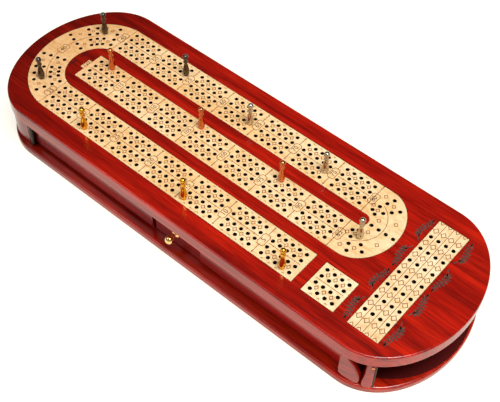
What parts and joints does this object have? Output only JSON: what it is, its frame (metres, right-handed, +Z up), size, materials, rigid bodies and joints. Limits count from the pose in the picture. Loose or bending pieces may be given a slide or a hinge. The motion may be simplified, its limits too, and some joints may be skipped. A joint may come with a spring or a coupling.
{
  "type": "cribbage board",
  "caption": "Long cribbage board with round ends: inlaid peg tracks on a thick top, a base below, and between them a hinged end door, a peg drawer and an open card slot.",
  "frame": {"origin": "middle of the base board on its underside, halfway along and halfway across the board", "axes": "+X along the board towards the open card slot and the scoring inlay, +Y across it away from the drawer knob, +Z up out of the playing face"},
  "size_m": [0.381, 0.1335, 0.0638],
  "materials": {
    "red_wood": "gloss lacquered red hardwood",
    "wall_wood": "gloss lacquered dark red hardwood",
    "maple_inlay": "satin lacquered pale maple with fine engraved lines",
    "drawer_lining": "plain sanded hardwood",
    "polished_brass": "polished",
    "antique_bronze": "dark patinated",
    "steel": "plain",
    "peg_gold": "polished gold colour",
    "peg_gunmetal": "polished dark grey",
    "peg_silver": "polished silver colour",
    "peg_copper": "polished copper colour"
  },
  "bodies": {
    "board": {"back_track_inlay": "maple_inlay", "back_wall": "wall_wood", "base_board": "red_wood", "bay_wall_left": "wall_wood", "bay_wall_right": "wall_wood", "catch_magnet": "steel", "finish_tab_inlay": "maple_inlay", "front_track_inlay": "maple_inlay", "front_wall_left": "wall_wood", "front_wall_right": "wall_wood", "games_inlay": "maple_inlay", "hinge_leaf_wall": "antique_bronze", "hinge_pin": "antique_bronze", "left_bend_inlay": "maple_inlay", "middle_track_inlay": "maple_inlay", "mouth_cheek_back": "red_wood", "mouth_cheek_front": "red_wood", "mouth_pillar_back": "red_wood", "mouth_pillar_front": "red_wood", "mouth_plate_back": "antique_bronze", "mouth_plate_front": "antique_bronze", "pillar_pin_back": "peg_copper", "pillar_pin_front": "peg_copper", "right_bend_inlay": "maple_inlay", "scoring_inlay": "maple_inlay", "top_board": "red_wood", "wall_leaf_screw_1": "antique_bronze", "wall_leaf_screw_2": "antique_bronze"},
    "end_door": {"left_end_door": "red_wood", "door_striker": "steel", "hinge_leaf_door": "antique_bronze", "door_leaf_screw_1": "antique_bronze", "door_leaf_screw_2": "antique_bronze"},
    "drawer": {"drawer_back": "drawer_lining", "drawer_bottom": "drawer_lining", "drawer_front": "wall_wood", "drawer_knob": "polished_brass", "drawer_side_left": "drawer_lining", "drawer_side_right": "drawer_lining", "knob_screw": "steel"},
    "peg_copper_1": {"peg_copper_1": "peg_copper"},
    "peg_copper_2": {"peg_copper_2": "peg_copper"},
    "peg_copper_3": {"peg_copper_3": "peg_copper"},
    "peg_gold_1": {"peg_gold_1": "peg_gold"},
    "peg_gold_2": {"peg_gold_2": "peg_gold"},
    "peg_gold_3": {"peg_gold_3": "peg_gold"},
    "peg_gunmetal_1": {"peg_gunmetal_1": "peg_gunmetal"},
    "peg_gunmetal_2": {"peg_gunmetal_2": "peg_gunmetal"},
    "peg_gunmetal_3": {"peg_gunmetal_3": "peg_gunmetal"},
    "peg_silver_1": {"peg_silver_1": "peg_silver"},
    "peg_silver_2": {"peg_silver_2": "peg_silver"},
    "peg_silver_3": {"peg_silver_3": "peg_silver"}
  },
  "joints": [
    {"name": "end_door_swing", "type": "hinge", "parent": "board", "child": "end_door", "pos_m": [-0.142, -0.0602, 0.01925], "axis": [0, 0, 1], "range_deg": [0, 110]},
    {"name": "drawer_slide", "type": "slide", "parent": "board", "child": "drawer", "axis": [0, -1, 0], "range_m": [0, 0.075]},
    {"name": "peg_copper_1_lift", "type": "slide", "parent": "board", "child": "peg_copper_1", "axis": [0, 0, 1], "range_m": [0, 0.01]},
    {"name": "peg_copper_2_lift", "type": "slide", "parent": "board", "child": "peg_copper_2", "axis": [0, 0, 1], "range_m": [0, 0.01]},
    {"name": "peg_copper_3_lift", "type": "slide", "parent": "board", "child": "peg_copper_3", "axis": [0, 0, 1], "range_m": [0, 0.01]},
    {"name": "peg_gold_1_lift", "type": "slide", "parent": "board", "child": "peg_gold_1", "axis": [0, 0, 1], "range_m": [0, 0.01]},
    {"name": "peg_gold_2_lift", "type": "slide", "parent": "board", "child": "peg_gold_2", "axis": [0, 0, 1], "range_m": [0, 0.01]},
    {"name": "peg_gold_3_lift", "type": "slide", "parent": "board", "child": "peg_gold_3", "axis": [0, 0, 1], "range_m": [0, 0.01]},
    {"name": "peg_gunmetal_1_lift", "type": "slide", "parent": "board", "child": "peg_gunmetal_1", "axis": [0, 0, 1], "range_m": [0, 0.01]},
    {"name": "peg_gunmetal_2_lift", "type": "slide", "parent": "board", "child": "peg_gunmetal_2", "axis": [0, 0, 1], "range_m": [0, 0.01]},
    {"name": "peg_gunmetal_3_lift", "type": "slide", "parent": "board", "child": "peg_gunmetal_3", "axis": [0, 0, 1], "range_m": [0, 0.01]},
    {"name": "peg_silver_1_lift", "type": "slide", "parent": "board", "child": "peg_silver_1", "axis": [0, 0, 1], "range_m": [0, 0.01]},
    {"name": "peg_silver_2_lift", "type": "slide", "parent": "board", "child": "peg_silver_2", "axis": [0, 0, 1], "range_m": [0, 0.01]},
    {"name": "peg_silver_3_lift", "type": "slide", "parent": "board", "child": "peg_silver_3", "axis": [0, 0, 1], "range_m": [0, 0.01]}
  ]
}
